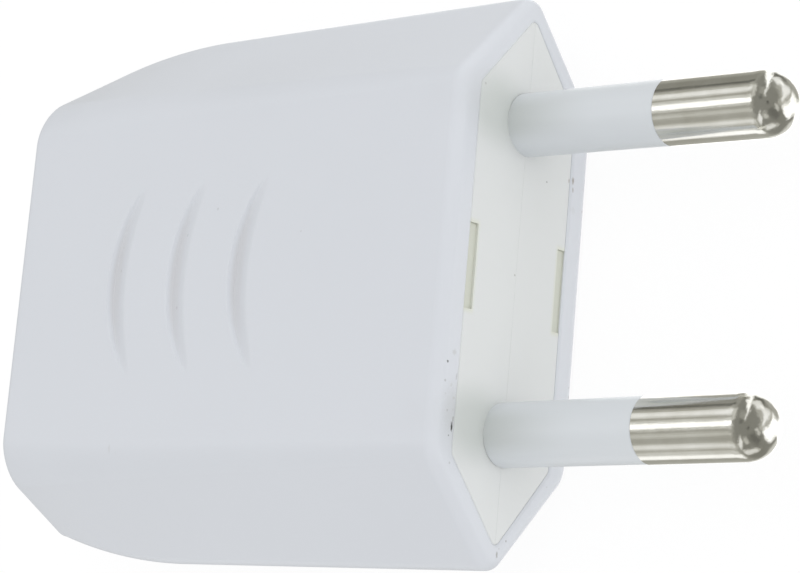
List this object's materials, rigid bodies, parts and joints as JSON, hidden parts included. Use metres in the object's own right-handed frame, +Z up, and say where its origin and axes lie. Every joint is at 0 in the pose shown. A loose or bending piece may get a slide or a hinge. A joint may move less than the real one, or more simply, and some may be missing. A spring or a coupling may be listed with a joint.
{
  "type": "travel adapter plug",
  "caption": "Flat six-sided travel adapter head with a snap-in insert, part-sleeved round pins and flat blade slots in its rear end.",
  "frame": {"origin": "middle of the engagement face, halfway between the pins", "axes": "+X out along the pins, +Y from the left pin to the right pin, +Z up from the flat back that it lies on"},
  "size_m": [0.0585, 0.0362, 0.0132],
  "materials": {
    "shell_plastic": "satin white moulding",
    "carrier_plastic": "satin off-white moulding",
    "sleeve_plastic": "satin cool white moulding",
    "pin_metal": "nickel plated, turned",
    "contact_metal": "bare spring strip"
  },
  "bodies": {
    "root": {"outer_shell": "shell_plastic", "upper_carrier": "carrier_plastic", "lower_carrier": "carrier_plastic", "right_pin": "pin_metal", "left_pin": "pin_metal", "right_sleeve": "sleeve_plastic", "left_sleeve": "sleeve_plastic", "right_contact": "contact_metal", "left_contact": "contact_metal"}
  },
  "joints": []
}
